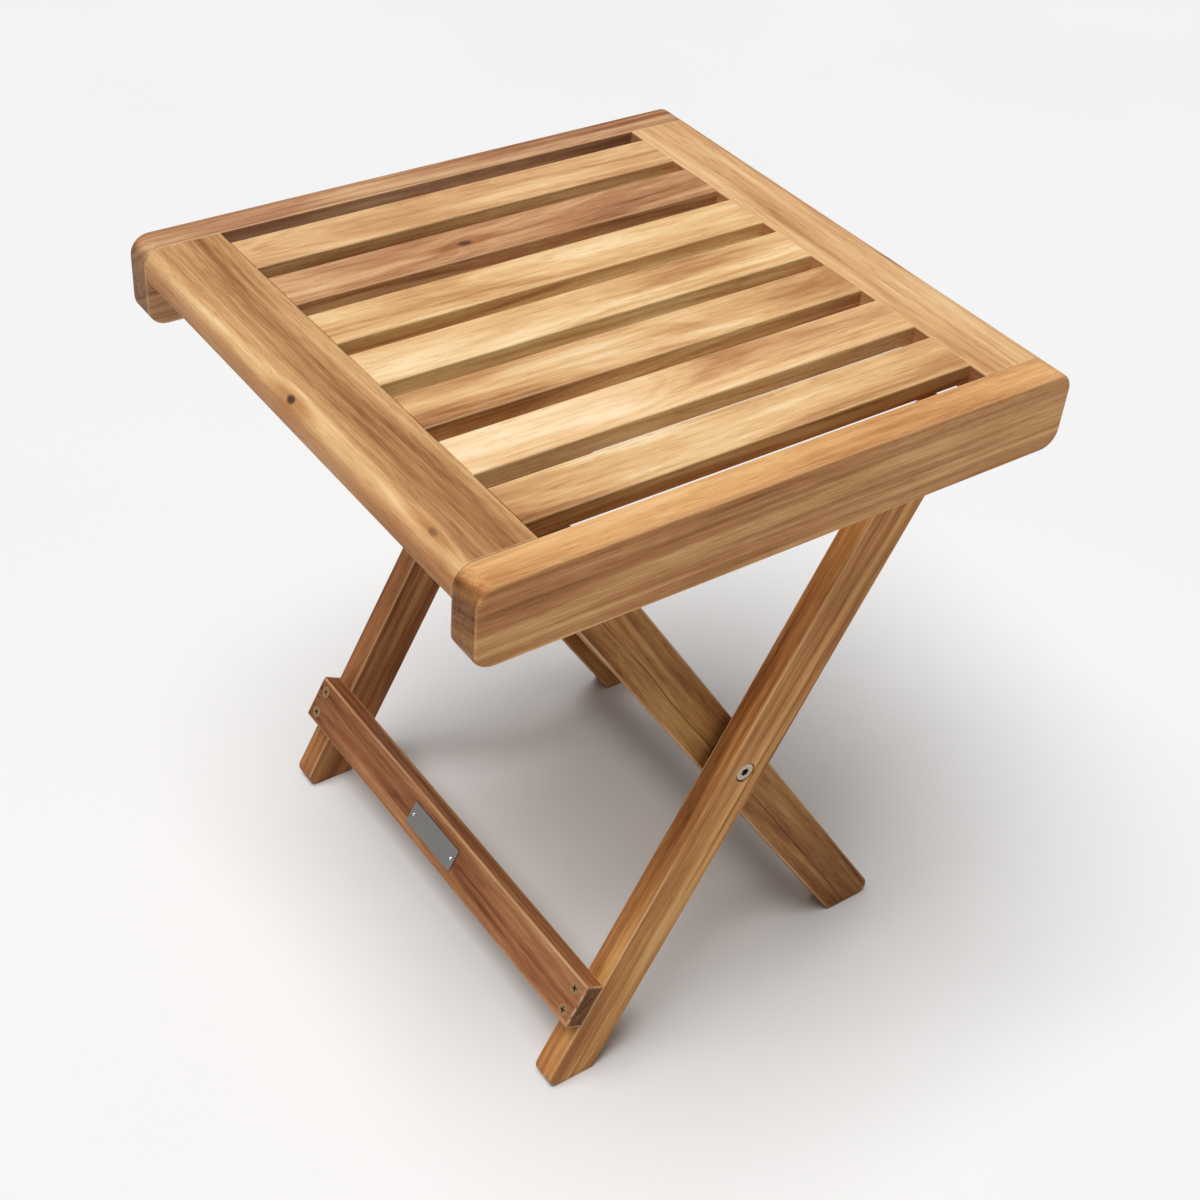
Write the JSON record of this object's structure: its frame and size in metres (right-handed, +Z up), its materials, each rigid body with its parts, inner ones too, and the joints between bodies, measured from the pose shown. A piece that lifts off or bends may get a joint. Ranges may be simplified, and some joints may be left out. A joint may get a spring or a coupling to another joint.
{
  "type": "folding stool",
  "caption": "Square slatted wooden shower stool on crossed legs that fold up, for sitting on in a wet room.",
  "frame": {"origin": "on the floor, under the centre of the seat", "axes": "+Z up; +X along the slats, towards the end that the seat is hinged at; +Y across the slats"},
  "size_m": [0.39, 0.375, 0.453],
  "materials": {
    "seat_frame_wood": "oiled, with open grain",
    "slat_wood": "oiled, with open grain",
    "leg_wood": "oiled, with open grain",
    "dowel_wood": "oiled, with open grain",
    "nickel": "nickel plated, satin",
    "insert_steel": "zinc plated",
    "yellow_zinc": "yellow zinc plated",
    "plate_aluminium": "satin"
  },
  "bodies": {
    "outer_frame": {"outer_leg_front": "leg_wood", "outer_leg_rear": "leg_wood", "stretcher": "leg_wood", "stretcher_screws": "yellow_zinc", "label_plate": "plate_aluminium", "label_pins": "plate_aluminium", "pivot_sleeve_front": "nickel", "pivot_bolt_front": "nickel", "pivot_washer_front": "nickel", "pivot_spacer_front": "nickel", "pivot_sleeve_rear": "nickel", "pivot_bolt_rear": "nickel", "pivot_washer_rear": "nickel", "pivot_spacer_rear": "nickel"},
    "inner_frame": {"inner_leg_front": "leg_wood", "inner_leg_rear": "leg_wood", "top_bar": "leg_wood", "top_bar_screws": "yellow_zinc", "inner_stretcher": "leg_wood"},
    "seat": {"side_rail_front": "seat_frame_wood", "side_rail_rear": "seat_frame_wood", "end_board_left": "seat_frame_wood", "end_board_right": "seat_frame_wood", "slat_1": "slat_wood", "slat_2": "slat_wood", "slat_3": "slat_wood", "slat_4": "slat_wood", "slat_5": "slat_wood", "slat_6": "slat_wood", "slat_7": "slat_wood", "frame_dowels": "dowel_wood", "block_screws": "yellow_zinc", "notch_block_front": "leg_wood", "rail_insert_front": "insert_steel", "seat_bolt_front": "nickel", "seat_washer_front": "nickel", "notch_block_rear": "leg_wood", "rail_insert_rear": "insert_steel", "seat_bolt_rear": "nickel", "seat_washer_rear": "nickel"}
  },
  "joints": [
    {"name": "seat_fold", "type": "hinge", "parent": "outer_frame", "child": "seat", "pos_m": [0.11969, 0, 0.4165], "axis": [0, 1, 0], "range_deg": [0, 116.6]},
    {"name": "leg_fold", "type": "hinge", "parent": "outer_frame", "child": "inner_frame", "pos_m": [0.0155, 0, 0.2155], "axis": [0, 1, 0], "range_deg": [0, 61]}
  ],
  "couplings": [
    {"joint": "leg_fold", "follows": "seat_fold", "ratio": 0.523}
  ]
}
